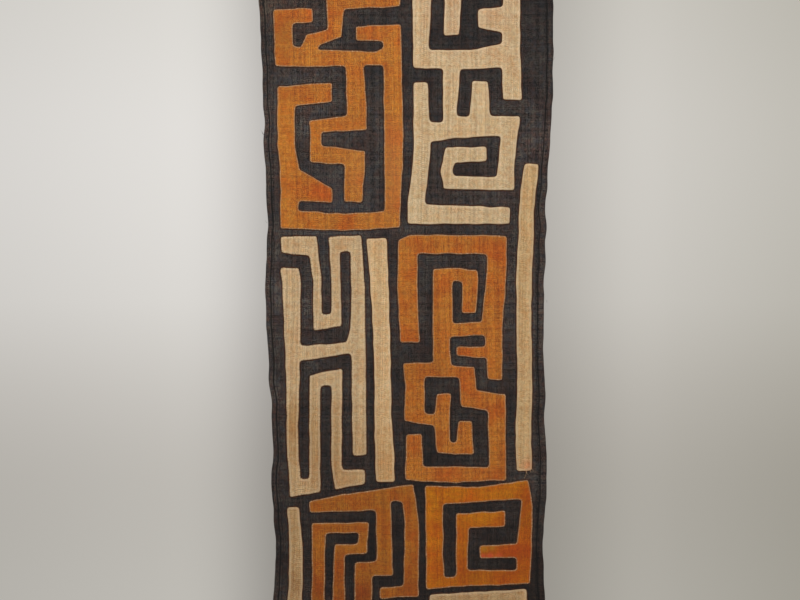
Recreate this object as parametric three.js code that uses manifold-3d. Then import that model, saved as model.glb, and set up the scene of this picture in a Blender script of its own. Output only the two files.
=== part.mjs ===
// A hanging of kuba raffia cloth: a dark plain-woven ground with a folded hem all round, and
// ten pieces of orange and natural raffia cloth, cut as keys, strips and bars, sewn on its front.
// Millimetres. +X is to the right seen from the front, +Z is up, and the front faces -Y.
// The origin is the middle of the top edge, where the cloth is held up.
import * as THREE from "three";
import { mergeVertices } from "three/addons/utils/BufferGeometryUtils.js";
import Module from "manifold-3d";

const solids = await Module();
solids.setup();

// Sizes of the cloth
const clothLength = 1420;
const groundThickness = 1.4;
const hemWidth = 15;
const hemProud = 0.7;
const pieceThickness = 1;
const pieceGap = 0.3;

// How a piece is cut: the corners that a turned-under edge can make
const outerCornerRadius = 3.5;
const innerCornerRadius = 6;
const cornerSteps = 3;
const roundedShare = 0.48;
const shortestCut = 4;
const slightestBow = 0.7;
const sharpestCut = 0.5;

// The sheet is bent over a grid of flat cells, a little larger than the cloth
const gridMargin = 20;
const gridWidth = 640;
const gridColumns = 16;
const gridRows = 29;
const edgeStep = 30;
const cutDepth = 80;

// The charts are in centimetres: across from the middle, right positive, and down from the top edge
const chartUnit = 10;

// Where the two side edges hang, uneven from the weaving and the hem
const sideEdges = [
  { down: 0, left: -29.7, right: 29.6 },
  { down: 10, left: -29.4, right: 29.4 },
  { down: 20, left: -28.9, right: 29.4 },
  { down: 30, left: -28.5, right: 29.2 },
  { down: 40, left: -28.3, right: 28.7 },
  { down: 50, left: -27.8, right: 28.0 },
  { down: 58, left: -27.7, right: 28.0 },
  { down: 66, left: -28.1, right: 27.6 },
  { down: 76, left: -27.8, right: 27.5 },
  { down: 81.5, left: -27.5, right: 27.4 },
  { down: 87.5, left: -27.2, right: 27.9 },
  { down: 94, left: -26.7, right: 27.6 },
  { down: 98, left: -26.6, right: 28.0 },
  { down: 108, left: -26.8, right: 28.0 },
  { down: 119, left: -26.0, right: 27.3 },
  { down: 130, left: -26.5, right: 27.7 },
  { down: 142, left: -26.9, right: 28.0 },
];

// How far forward the hanging sheet stands, in millimetres: shallow flutes side by side,
// and a slow sway from top to bottom with one soft crease low down
const flutes = [
  { across: -32, forward: 3.6 },
  { across: -27, forward: 1.6 },
  { across: -20, forward: -1.2 },
  { across: -12, forward: 1.4 },
  { across: -5, forward: -0.6 },
  { across: 0, forward: 0 },
  { across: 6, forward: 1.2 },
  { across: 14, forward: -1.4 },
  { across: 21, forward: 0.6 },
  { across: 27, forward: 1.8 },
  { across: 32, forward: 4.2 },
];
const sway = [
  { down: -2, forward: 0 },
  { down: 0, forward: 0 },
  { down: 14, forward: 2.5 },
  { down: 36, forward: 4.5 },
  { down: 60, forward: 2 },
  { down: 84, forward: 4 },
  { down: 106, forward: 7 },
  { down: 118, forward: 6.5 },
  { down: 124, forward: 9.5 },
  { down: 130, forward: 7.5 },
  { down: 144, forward: 10 },
];

// Each piece is cut as sections that run into each other. A section goes "down" or "across",
// from one place to another on the chart. Near and far are its two long edges where it starts
// (left and right of one going down, top and bottom of one going across), and nearEnd and
// farEnd are the same edges where it stops.
const sectionColumns = ["way", "from", "to", "near", "far", "nearEnd", "farEnd"];

const orangeKeyUpperLeft = [
  ["across", -16.0, -1.2, 8.4, 12.1, 8.2, 11.3],
  ["down", 8.4, 17.4, -16.0, -11.9, -15.5, -13.0],
  ["across", -20.0, -12.9, 17.0, 19.9, 15.4, 17.5],
  ["down", 17.0, 20.0, -19.8, -16.0, -21.2, -17.8],
  ["across", -26.4, -18.6, 11.9, 15.0, 11.7, 14.5],
  ["down", 12.0, 23.2, -26.5, -22.7, -26.1, -22.6],
  ["across", -26.1, -18.0, 19.0, 23.3, 19.9, 23.4],
  ["across", -18.5, -3.0, 20.0, 23.4, 20.6, 23.0],
  ["across", -6.0, -4.4, 20.5, 21.0, 19.6, 21.0],
  ["across", -10.0, -1.0, 15.3, 18.1, 15.0, 18.4],
  ["down", 15.0, 38.0, -4.55, -1.1, -4.4, -0.5],
  ["down", 37.5, 55.6, -4.4, -0.5, -4.15, -1.3],
  ["down", 22.0, 30.0, -12.1, -8.6, -11.85, -7.95],
  ["down", 29.5, 36.1, -11.85, -7.95, -11.7, -7.75],
  ["across", -19.3, -7.75, 34.2, 36.5, 32.8, 36.1],
  ["down", 34.4, 42.4, -19.3, -17.0, -19.1, -16.9],
  ["across", -19.1, -8.2, 38.9, 42.5, 40.3, 43.2],
  ["down", 40.2, 50.4, -12.2, -8.2, -12.4, -8.8],
  ["across", -25.4, -14.8, 27.4, 31.5, 26.6, 30.4],
  ["down", 27.3, 39.0, -25.6, -22.2, -25.65, -22.2],
  ["down", 38.5, 44.5, -25.65, -22.2, -25.1, -21.3],
  ["down", 44.0, 55.8, -25.15, -21.35, -25.1, -21.6],
  ["across", -22.5, -14.7, 44.2, 50.1, 47.7, 50.6],
  ["across", -25.1, -12.0, 52.0, 55.6, 52.8, 56.2],
  ["across", -12.5, -1.2, 52.8, 56.2, 52.2, 55.5],
];

const naturalKeyUpperRight = [
  ["down", 5.4, 23.6, 1.3, 5.3, 1.3, 4.4],
  ["across", 7.8, 22.8, 5.3, 8.6, 5.3, 8.6],
  ["down", 5.4, 17.1, 7.8, 11.3, 7.6, 10.6],
  ["across", 14.4, 20.0, 12.0, 15.5, 11.3, 16.7],
  ["down", 5.4, 20.0, 19.6, 22.7, 19.1, 22.8],
  ["down", 19.5, 30.0, 19.1, 23.0, 19.3, 23.1],
  ["across", 1.4, 13.5, 20.1, 23.7, 20.1, 23.9],
  ["across", 13.0, 22.8, 20.1, 23.9, 18.0, 23.3],
  ["down", 23.0, 34.6, 7.5, 10.9, 7.4, 9.9],
  ["down", 26.6, 40.0, 1.5, 4.3, 1.6, 4.9],
  ["down", 39.0, 54.8, 1.7, 4.9, 0.4, 3.3],
  ["down", 26.3, 34.0, 13.3, 16.4, 12.6, 16.9],
  ["across", 1.5, 10.0, 34.6, 38.6, 34.5, 37.8],
  ["across", 9.8, 14.5, 33.3, 37.8, 33.3, 37.3],
  ["across", 14.0, 20.0, 33.3, 37.3, 33.3, 37.2],
  ["down", 33.3, 37.0, 19.3, 22.8, 19.0, 22.4],
  ["down", 36.5, 42.5, 19.05, 22.45, 18.45, 21.65],
  ["down", 42.0, 48.0, 18.5, 21.7, 17.9, 21.5],
  ["across", 7.5, 21.6, 45.1, 47.8, 45.6, 48.1],
  ["down", 39.6, 44.2, 7.9, 10.8, 6.9, 9.2],
  ["down", 43.8, 47.7, 6.9, 9.2, 7.6, 10.0],
  ["across", 8.0, 16.1, 39.6, 42.6, 39.4, 42.3],
  ["across", 0.4, 20.8, 50.8, 54.8, 51.5, 54.8],
];

const naturalStripRight = [
  ["down", 42.8, 46.0, 23.8, 26.5, 23.2, 26.25],
  ["down", 45.5, 52.0, 23.25, 26.3, 22.6, 25.6],
  ["down", 51.5, 58.5, 22.6, 25.6, 22.45, 25.5],
  ["down", 58.0, 64.0, 22.45, 25.5, 22.05, 25.15],
  ["down", 63.5, 74.0, 22.05, 25.15, 22.05, 25.05],
  ["down", 73.5, 88.0, 22.05, 25.05, 22.3, 25.2],
  ["down", 87.5, 96.0, 22.3, 25.2, 21.85, 25.0],
  ["down", 95.5, 104.1, 21.85, 25.0, 22.1, 25.15],
];

const naturalKeyMidLeft = [
  ["across", -25.0, -17.9, 57.4, 60.5, 57.2, 61.3],
  ["down", 57.4, 66.0, -19.9, -18.0, -18.6, -16.9],
  ["down", 65.5, 76.0, -18.6, -16.9, -18.4, -16.8],
  ["across", -18.5, -12.9, 72.9, 76.1, 72.9, 75.2],
  ["down", 57.4, 67.0, -15.5, -13.3, -14.9, -13.0],
  ["down", 66.5, 75.3, -14.9, -13.0, -14.9, -12.9],
  ["across", -15.3, -9.0, 57.4, 60.3, 57.1, 60.1],
  ["down", 57.2, 68.0, -11.3, -8.9, -10.9, -8.2],
  ["down", 67.5, 80.0, -10.9, -8.2, -11.0, -8.1],
  ["down", 75.5, 80.0, -11.1, -9.0, -12.2, -9.0],
  ["down", 79.5, 101.0, -10.9, -8.1, -10.6, -7.8],
  ["across", -23.5, -9.0, 79.4, 82.5, 78.3, 80.4],
  ["down", 63.6, 66.5, -25.0, -21.4, -24.8, -21.0],
  ["down", 66.0, 72.0, -24.8, -21.0, -24.5, -21.1],
  ["down", 71.5, 88.0, -24.5, -21.1, -23.9, -21.3],
  ["down", 87.5, 98.0, -23.9, -21.3, -23.8, -21.6],
  ["down", 97.5, 109.2, -23.8, -21.6, -23.1, -20.9],
  ["across", -23.2, -17.1, 105.7, 109.4, 105.7, 108.3],
  ["down", 85.0, 108.3, -19.3, -17.1, -19.3, -17.1],
  ["across", -19.2, -12.7, 85.0, 87.2, 83.7, 87.0],
  ["down", 84.0, 103.0, -14.9, -12.4, -14.9, -12.9],
  ["down", 102.5, 107.0, -14.9, -12.9, -14.3, -12.0],
  ["across", -14.3, -8.2, 103.9, 107.9, 103.8, 106.7],
];

const naturalBarMidLeft = [
  ["down", 57.7, 66.0, -7.9, -3.9, -7.2, -3.5],
  ["down", 65.5, 76.0, -7.2, -3.5, -6.6, -3.3],
  ["down", 75.5, 86.0, -6.6, -3.3, -6.3, -2.95],
  ["down", 85.5, 94.0, -6.3, -2.95, -6.3, -2.85],
  ["down", 93.5, 101.0, -6.3, -2.85, -6.15, -2.3],
  ["down", 100.5, 106.3, -6.15, -2.3, -6.0, -2.2],
];

const orangeKeyMidRight = [
  ["across", -1.6, 1.0, 57.6, 60.7, 57.0, 60.7],
  ["across", 0.9, 18.0, 57.0, 60.7, 57.1, 60.8],
  ["across", 17.9, 20.1, 57.1, 60.8, 57.4, 60.8],
  ["down", 58.0, 68.0, -1.6, 2.4, -1.7, 2.2],
  ["down", 67.5, 78.5, -1.7, 2.2, -1.1, 2.7],
  ["down", 57.9, 66.0, 16.3, 20.1, 16.1, 20.0],
  ["down", 65.5, 74.5, 16.1, 19.9, 15.1, 19.3],
  ["down", 74.0, 85.9, 15.6, 19.3, 16.3, 19.2],
  ["down", 63.8, 76.0, 5.4, 9.3, 5.3, 9.3],
  ["down", 75.5, 83.5, 5.3, 8.6, 5.5, 9.0],
  ["across", 5.4, 10.6, 63.7, 66.2, 63.6, 66.1],
  ["across", 10.4, 14.3, 63.6, 66.1, 64.4, 67.0],
  ["down", 64.0, 66.5, 11.4, 14.2, 11.3, 14.6],
  ["down", 66.0, 72.6, 11.3, 14.6, 11.2, 14.0],
  ["across", 5.4, 18.0, 74.7, 77.5, 74.4, 76.9],
  ["across", 10.1, 17.0, 79.4, 81.1, 79.3, 81.7],
  ["across", -0.6, 5.5, 82.6, 85.35, 82.5, 85.35],
  ["across", 5.4, 13.8, 83.0, 85.4, 83.4, 85.5],
  ["down", 82.6, 87.5, -0.5, 3.8, -0.15, 3.7],
  ["down", 87.0, 94.2, -0.15, 3.7, -0.3, 3.6],
  ["across", -0.3, 7.0, 92.2, 94.2, 93.0, 94.7],
  ["down", 88.7, 95.0, 6.2, 9.0, 5.6, 8.6],
  ["down", 94.5, 100.6, 5.6, 8.6, 6.2, 8.8],
  ["across", 6.1, 13.5, 98.4, 100.5, 98.4, 100.8],
  ["down", 94.2, 100.8, 10.5, 13.1, 9.7, 13.5],
  ["down", 83.4, 91.0, 10.4, 13.8, 11.0, 14.2],
  ["across", 11.0, 19.9, 87.7, 91.2, 88.9, 92.6],
  ["down", 88.8, 106.0, 16.2, 19.9, 16.7, 20.0],
  ["across", -0.1, 10.0, 103.2, 106.0, 103.3, 106.5],
  ["across", 9.5, 19.9, 103.3, 106.5, 103.4, 105.9],
  ["down", 96.8, 106.0, 0.1, 3.1, -0.2, 3.5],
];

const naturalStripLowerLeft = [
  ["down", 111.4, 120.0, -23.7, -21.4, -23.2, -20.6],
  ["down", 119.5, 127.0, -23.2, -20.6, -23.4, -20.6],
  ["down", 126.5, 134.0, -23.4, -20.6, -24.0, -21.0],
];

const orangeKeyLowerLeft = [
  ["across", -19.3, -14.0, 110.2, 112.4, 109.1, 112.2],
  ["across", -14.2, -5.5, 109.15, 112.2, 107.9, 111.95],
  ["across", -6.0, 1.5, 108.0, 110.3, 106.8, 109.7],
  ["down", 109.0, 125.0, -6.1, -3.1, -5.7, -2.6],
  ["across", -10.2, -2.6, 122.3, 125.2, 122.1, 124.9],
  ["down", 122.4, 136.2, -10.2, -6.6, -10.3, -7.1],
  ["across", -14.8, -7.1, 133.0, 136.2, 133.0, 136.2],
  ["down", 118.8, 136.2, -14.2, -12.3, -14.8, -12.1],
  ["across", -14.2, -7.7, 118.7, 121.0, 118.7, 120.5],
  ["down", 114.4, 120.4, -9.3, -7.4, -9.6, -7.8],
  ["across", -18.8, -7.5, 114.6, 116.6, 114.4, 116.4],
  ["down", 114.6, 126.0, -18.8, -16.0, -18.7, -16.2],
  ["down", 125.5, 136.2, -18.7, -16.2, -19.1, -16.4],
  ["down", 106.9, 110.5, -1.0, 1.3, -0.6, 2.0],
  ["down", 110.0, 115.0, -0.65, 1.9, -0.2, 2.6],
  ["down", 114.5, 129.2, -0.2, 2.6, -0.6, 2.5],
  ["across", -5.2, 2.4, 127.4, 129.6, 127.0, 129.1],
];

const orangeKeyLowerRight = [
  ["across", 3.8, 15.0, 107.1, 111.0, 107.4, 110.3],
  ["across", 14.5, 24.4, 107.4, 110.3, 105.9, 109.6],
  ["down", 107.2, 121.0, 3.8, 7.4, 3.95, 7.35],
  ["down", 120.5, 127.6, 3.95, 7.35, 4.1, 7.7],
  ["across", 4.1, 10.5, 125.5, 127.7, 125.2, 127.2],
  ["across", 10.0, 24.6, 123.9, 127.2, 123.9, 126.6],
  ["down", 112.6, 125.5, 10.1, 12.6, 10.0, 12.2],
  ["across", 10.1, 19.7, 112.7, 115.6, 112.1, 115.2],
  ["down", 106.0, 111.0, 23.1, 24.4, 23.1, 25.3],
  ["down", 110.5, 119.0, 23.1, 25.3, 22.1, 25.1],
  ["down", 118.5, 126.6, 22.1, 25.1, 22.0, 24.75],
  ["across", 14.7, 23.0, 119.1, 121.6, 118.6, 121.3],
];

const naturalBarLowerRight = [
  ["across", 4.7, 24.1, 128.8, 132.4, 127.7, 131.8],
];

// The three cloths
const groundCloth = new THREE.MeshStandardMaterial({ color: 0x3a3536, roughness: 0.92, metalness: 0 });
const orangeCloth = new THREE.MeshStandardMaterial({ color: 0xb8722f, roughness: 0.85, metalness: 0 });
const naturalCloth = new THREE.MeshStandardMaterial({ color: 0xcdb088, roughness: 0.85, metalness: 0 });

const sewnPieces = [
  { name: "orange_key_upper_left", chart: orangeKeyUpperLeft, cloth: orangeCloth },
  { name: "natural_key_upper_right", chart: naturalKeyUpperRight, cloth: naturalCloth },
  { name: "natural_strip_right", chart: naturalStripRight, cloth: naturalCloth },
  { name: "natural_key_mid_left", chart: naturalKeyMidLeft, cloth: naturalCloth },
  { name: "natural_bar_mid_left", chart: naturalBarMidLeft, cloth: naturalCloth },
  { name: "orange_key_mid_right", chart: orangeKeyMidRight, cloth: orangeCloth },
  { name: "natural_strip_lower_left", chart: naturalStripLowerLeft, cloth: naturalCloth },
  { name: "orange_key_lower_left", chart: orangeKeyLowerLeft, cloth: orangeCloth },
  { name: "orange_key_lower_right", chart: orangeKeyLowerRight, cloth: orangeCloth },
  { name: "natural_bar_lower_right", chart: naturalBarLowerRight, cloth: naturalCloth },
];

// A smooth line through two columns of a table
function smoothColumn(table, along, value) {
  const places = table.map((row) => row[along] * chartUnit);
  const values = table.map((row) => row[value]);
  const line = new THREE.CubicInterpolant(places, values, 1);
  return (place) => line.evaluate(place)[0];
}

const leftEdge = smoothColumn(sideEdges, "down", "left");
const rightEdge = smoothColumn(sideEdges, "down", "right");
const fluteAt = smoothColumn(flutes, "across", "forward");
const swayAt = smoothColumn(sway, "down", "forward");

// A closed mesh as a solid, and a solid as a mesh
function toSolid(geometry) {
  const bare = geometry.clone();
  bare.deleteAttribute("normal");
  bare.deleteAttribute("uv");
  const welded = mergeVertices(bare);
  const vertProperties = new Float32Array(welded.attributes.position.array);
  const triVerts = new Uint32Array(welded.index.array);
  return new solids.Manifold(new solids.Mesh({ numProp: 3, vertProperties, triVerts }));
}

function toGeometry(solid) {
  const mesh = solid.getMesh();
  const geometry = new THREE.BufferGeometry();
  geometry.setAttribute("position", new THREE.BufferAttribute(mesh.vertProperties, 3));
  geometry.setIndex(new THREE.BufferAttribute(mesh.triVerts, 1));
  geometry.computeVertexNormals();
  return geometry;
}

// A shape drawn across and up, cut straight through the cloth from front to back
function cutThrough(shape) {
  const settings = { depth: cutDepth, bevelEnabled: false, curveSegments: cornerSteps };
  const geometry = new THREE.ExtrudeGeometry(shape, settings);
  geometry.rotateX(Math.PI / 2);
  geometry.translate(0, cutDepth / 2, 0);
  return toSolid(geometry);
}

// The hanging sheet between two depths, counted forward from the middle of the ground cloth
function layer(back, front) {
  const height = clothLength + 2 * gridMargin;
  const geometry = new THREE.BoxGeometry(gridWidth, front - back, height, gridColumns, 1, gridRows);
  geometry.translate(0, -(front + back) / 2, -clothLength / 2);
  const at = geometry.attributes.position;
  for (let i = 0; i < at.count; i += 1) {
    const forward = fluteAt(at.getX(i)) + swayAt(-at.getZ(i));
    at.setY(i, at.getY(i) - forward);
  }
  return toSolid(geometry);
}

// The cloth's outline, drawn in by the same amount on every side
function clothShape(inset) {
  const last = clothLength - inset;
  const steps = Math.ceil((last - inset) / edgeStep);
  const left = [];
  const right = [];
  for (let i = 0; i <= steps; i += 1) {
    const down = THREE.MathUtils.lerp(inset, last, i / steps);
    left.push(new THREE.Vector2(leftEdge(down) * chartUnit + inset, -down));
    right.unshift(new THREE.Vector2(rightEdge(down) * chartUnit - inset, -down));
  }
  return new THREE.Shape([...left, ...right]);
}

function makeGround() {
  const half = groundThickness / 2;
  const outline = cutThrough(clothShape(0));
  const inside = cutThrough(clothShape(hemWidth));
  const sheet = outline.intersect(layer(-half, half));
  const hem = outline.subtract(inside).intersect(layer(-half - hemProud, half + hemProud));
  return toGeometry(sheet.add(hem));
}

// One section of a chart as a four-sided shape
function sectionShape(row) {
  const section = Object.fromEntries(sectionColumns.map((name, i) => [name, row[i]]));
  const { way, from, to, near, far, nearEnd, farEnd } = section;
  const along = [from, to, to, from];
  const beside = [near, nearEnd, farEnd, far];
  const corners = along.map((place, i) => {
    const across = way === "across" ? place : beside[i];
    const down = way === "across" ? beside[i] : place;
    return new THREE.Vector2(across * chartUnit, -down * chartUnit);
  });
  return new THREE.Shape(corners);
}

// The closed outlines of a solid that was cut straight through, seen from the front: the outer
// one first, then any window's. The cloth is always on the left as an outline is followed.
function outlinesOf(solid) {
  const { vertProperties, triVerts } = solid.getMesh();
  const point = (i) => new THREE.Vector2(vertProperties[3 * i], vertProperties[3 * i + 2]);
  const isFront = (i) => vertProperties[3 * i + 1] < 0;
  const sides = new Map();
  for (let t = 0; t < triVerts.length; t += 3) {
    const corners = [triVerts[t], triVerts[t + 1], triVerts[t + 2]];
    if (corners.every(isFront)) {
      corners.forEach((from, i) => sides.set(`${from} ${corners[(i + 1) % 3]}`, from));
    }
  }
  const follow = new Map();
  for (const [side, from] of sides) {
    const to = Number(side.split(" ")[1]);
    if (!sides.has(`${to} ${from}`)) {
      follow.set(from, to);
    }
  }
  const outlines = [];
  while (follow.size > 0) {
    const outline = [];
    let at = follow.keys().next().value;
    while (follow.has(at)) {
      const to = follow.get(at);
      follow.delete(at);
      outline.push(point(at));
      at = to;
    }
    outlines.push(outline);
  }
  return outlines.sort((one, other) => THREE.ShapeUtils.area(other) - THREE.ShapeUtils.area(one));
}

// The points on either side of one point of a closed outline
function besideOn(outline, i) {
  const before = outline[(i + outline.length - 1) % outline.length];
  const after = outline[(i + 1) % outline.length];
  return { before, after };
}

// Leaves out steps and bends that are too small to cut, the slightest bend first
function tidyOutline(outline) {
  const kept = outline.filter((p, i) => p.distanceTo(besideOn(outline, i).after) > shortestCut);
  for (;;) {
    const bows = kept.map((p, i) => bowAt(kept, i));
    const least = Math.min(...bows);
    if (least > slightestBow) {
      return kept;
    }
    kept.splice(bows.indexOf(least), 1);
  }
}

// How far a point of an outline stands off the straight line past it
function bowAt(outline, i) {
  const { before, after } = besideOn(outline, i);
  const past = after.clone().sub(before);
  return Math.abs(past.cross(outline[i].clone().sub(before))) / past.length();
}

function turnAt(before, p, after) {
  const inward = p.clone().sub(before);
  const outward = after.clone().sub(p);
  return Math.atan2(inward.cross(outward), inward.dot(outward));
}

// Draws an outline with each corner rounded, outer corners less than inner ones, and each
// slight bend left as it is
function drawRounded(path, outline) {
  outline.forEach((p, i) => {
    const { before, after } = besideOn(outline, i);
    const turn = turnAt(before, p, after);
    const radius = turn > 0 ? outerCornerRadius : innerCornerRadius;
    const room = roundedShare * Math.min(p.distanceTo(before), p.distanceTo(after));
    const wanted = Math.min(radius * Math.tan(Math.abs(turn) / 2), room);
    const cut = wanted > sharpestCut ? wanted : 0;
    const start = p.clone().lerp(before, cut / p.distanceTo(before));
    const end = p.clone().lerp(after, cut / p.distanceTo(after));
    if (i === 0) {
      path.moveTo(start.x, start.y);
    } else {
      path.lineTo(start.x, start.y);
    }
    if (cut > 0) {
      path.quadraticCurveTo(p.x, p.y, end.x, end.y);
    }
  });
  path.closePath();
  return path;
}

function makePiece(chart, sheet) {
  const sections = chart.map((row) => cutThrough(sectionShape(row)));
  const joined = sections.reduce((whole, section) => whole.add(section));
  const [outer, ...windows] = outlinesOf(joined).map(tidyOutline);
  const shape = drawRounded(new THREE.Shape(), outer);
  shape.holes = windows.map((window) => drawRounded(new THREE.Path(), window));
  return toGeometry(cutThrough(shape).intersect(sheet));
}

const hanging = new THREE.Group();

const ground = new THREE.Mesh(makeGround(), groundCloth);
ground.name = "ground_cloth";
hanging.add(ground);

const pieceBack = groundThickness / 2 + pieceGap;
const sewnLayer = layer(pieceBack, pieceBack + pieceThickness);
for (const { name, chart, cloth } of sewnPieces) {
  const piece = new THREE.Mesh(makePiece(chart, sewnLayer), cloth);
  piece.name = name;
  hanging.add(piece);
}

export default hanging;
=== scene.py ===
import math

import bmesh
import bpy
import numpy as np
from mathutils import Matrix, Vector
from mathutils.bvhtree import BVHTree
from mathutils.geometry import delaunay_2d_cdt


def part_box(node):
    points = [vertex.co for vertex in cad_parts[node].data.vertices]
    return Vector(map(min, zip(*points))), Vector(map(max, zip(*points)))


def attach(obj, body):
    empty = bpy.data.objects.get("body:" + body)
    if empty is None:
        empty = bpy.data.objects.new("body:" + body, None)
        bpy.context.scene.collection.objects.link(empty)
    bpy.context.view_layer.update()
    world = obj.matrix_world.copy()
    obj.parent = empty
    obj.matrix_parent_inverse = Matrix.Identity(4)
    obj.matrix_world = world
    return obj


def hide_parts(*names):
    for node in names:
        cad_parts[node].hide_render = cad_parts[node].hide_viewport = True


# A kuba raffia cloth hung by its top edge. Distances in this file are in millimetres and turn to
# metres only where a mesh or a light is made. Across is +X, up is +Z, and the front faces -Y.

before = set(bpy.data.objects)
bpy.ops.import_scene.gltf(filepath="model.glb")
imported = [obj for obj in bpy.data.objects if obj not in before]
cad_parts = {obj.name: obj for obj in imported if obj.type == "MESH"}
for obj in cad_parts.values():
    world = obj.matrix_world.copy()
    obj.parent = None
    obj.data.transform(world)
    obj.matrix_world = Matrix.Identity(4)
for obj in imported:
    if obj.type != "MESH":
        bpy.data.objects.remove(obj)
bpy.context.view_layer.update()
scene = bpy.context.scene
bpy.ops.object.select_all(action="DESELECT")
print("frame loaded")


def linearColour(hexText):  # sRGB hex to the linear values that the sockets take
    parts = [int(hexText[i:i + 2], 16) / 255 for i in (0, 2, 4)]
    linear = [c / 12.92 if c <= 0.04045 else ((c + 0.055) / 1.055) ** 2.4 for c in parts]
    return (*linear, 1.0)


# Camera

cameraValues = {
    "place": (-0.012, -4.0, -0.70),   # straight in front, level with the middle of the picture
    "lens": 90,
    "sensor": 36,
}


def makeCamera(values):
    data = bpy.data.cameras.new("camera")
    data.lens = values["lens"]
    data.sensor_width = values["sensor"]
    camera = bpy.data.objects.new("camera", data)
    camera.location = values["place"]
    camera.rotation_euler = (math.pi / 2, 0, 0)
    scene.collection.objects.link(camera)
    scene.camera = camera


makeCamera(cameraValues)
print("camera placed")


# How the cloth hangs

drape = {
    "feelStep": 5.0,            # between the places where the CAD sheet is felt
    "margin": 20.0,             # felt this far past the edges
    "smoothing": 18.0,          # rounds off the flat cells of the CAD sheet
    "puckers": 18,              # small waves that the sewing leaves in the cloth
    "puckerLengths": (26.0, 110.0),
    "puckerHeight": 0.11,
    "waver": 12,                # how a hand-cut edge wavers
    "waverLengths": (22.0, 90.0),
    "waverReach": 0.11,
    "seed": 11,
}


def readNode(nodeName):  # a node's mesh is loose triangles, so a copy is merged first
    bm = bmesh.new()
    bm.from_mesh(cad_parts[nodeName].data)
    bmesh.ops.remove_doubles(bm, verts=bm.verts, dist=0.00001)
    bm.normal_update()
    return bm


def fillOutwards(row):  # places past the cloth take the nearest felt value
    felt = np.flatnonzero(~np.isnan(row))
    if len(felt) == 0:
        return row
    return np.interp(np.arange(len(row)), felt, row[felt])


def blurAlong(grid, width, axis):  # the width is in cells, and the kernel reaches three each way
    reach = int(3 * width)
    kernel = np.exp(-0.5 * (np.arange(-reach, reach + 1) / width) ** 2)
    kernel /= kernel.sum()
    padding = [(0, 0), (0, 0)]
    padding[axis] = (reach, reach)
    padded = np.pad(grid, padding, mode="edge")
    return np.apply_along_axis(np.convolve, axis, padded, kernel, mode="valid")


def feelMiddle(nodeName, values):  # the sheet's middle depth on an even grid
    bm = readNode(nodeName)
    tree = BVHTree.FromBMesh(bm)
    bm.free()
    low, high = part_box(nodeName)
    step, margin = values["feelStep"], values["margin"]
    across = np.arange(low[0] * 1000 - margin, high[0] * 1000 + margin + step, step)
    up = np.arange(low[2] * 1000 - margin, high[2] * 1000 + margin + step, step)
    grid = np.full((len(up), len(across)), np.nan)
    for i, z in enumerate(up):
        for j, x in enumerate(across):
            front = tree.ray_cast(Vector((x / 1000, -1, z / 1000)), Vector((0, 1, 0)))[0]
            back = tree.ray_cast(Vector((x / 1000, 1, z / 1000)), Vector((0, -1, 0)))[0]
            if front and back:
                grid[i, j] = (front.y + back.y) / 2 * 1000
    grid = np.apply_along_axis(fillOutwards, 1, grid)
    grid = np.apply_along_axis(fillOutwards, 0, grid)
    width = values["smoothing"] / step
    grid = blurAlong(blurAlong(grid, width, 0), width, 1)
    return {"across": across, "up": up, "grid": grid, "step": step}


def makeWaves(rng, count, lengths, height):  # plane waves in all directions
    length = rng.uniform(*lengths, count)
    turn = rng.uniform(0, 2 * math.pi, count)
    phase = rng.uniform(0, 2 * math.pi, count)
    size = height * length / np.mean(lengths)
    pitch = 2 * math.pi / length
    return np.column_stack([pitch * np.cos(turn), pitch * np.sin(turn), phase, size])


def sumWaves(waves, x, z):
    total = np.zeros(len(x))
    for alongX, alongZ, phase, size in waves:
        total += size * np.sin(alongX * x + alongZ * z + phase)
    return total


rng = np.random.default_rng(drape["seed"])
feltSheet = feelMiddle("ground_cloth", drape)
puckerWaves = makeWaves(rng, drape["puckers"], drape["puckerLengths"], drape["puckerHeight"])
waverAcross = makeWaves(rng, drape["waver"], drape["waverLengths"], drape["waverReach"])
waverUp = makeWaves(rng, drape["waver"], drape["waverLengths"], drape["waverReach"])


def middleAt(places):  # depth of the hanging sheet's middle, in millimetres along Y
    x, z = places[:, 0], places[:, 1]
    across, up, step = feltSheet["across"], feltSheet["up"], feltSheet["step"]
    clear = 1.001  # kept clear of the last line, so that there is a next one
    column = np.clip((x - across[0]) / step, 0, len(across) - clear)
    row = np.clip((z - up[0]) / step, 0, len(up) - clear)
    j, i = column.astype(int), row.astype(int)
    s, t = column - j, row - i
    grid = feltSheet["grid"]
    lower = grid[i, j] * (1 - s) + grid[i, j + 1] * s
    upper = grid[i + 1, j] * (1 - s) + grid[i + 1, j + 1] * s
    return lower * (1 - t) + upper * t + sumWaves(puckerWaves, x, z)


def waverBy(places):  # moves flat places by the unevenness of hand-cut edges
    x, z = places[:, 0], places[:, 1]
    return places + np.column_stack([sumWaves(waverAcross, x, z), sumWaves(waverUp, x, z)])


print("drape felt from the frame")


# Sheets

def newPiece(name, vertices, faces):  # vertices in millimetres
    mesh = bpy.data.meshes.new(name)
    mesh.from_pydata((vertices / 1000).tolist(), [], faces)
    mesh.validate()
    mesh.update()
    mesh.shade_smooth()
    piece = bpy.data.objects.new(name, mesh)
    scene.collection.objects.link(piece)
    return piece


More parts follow.
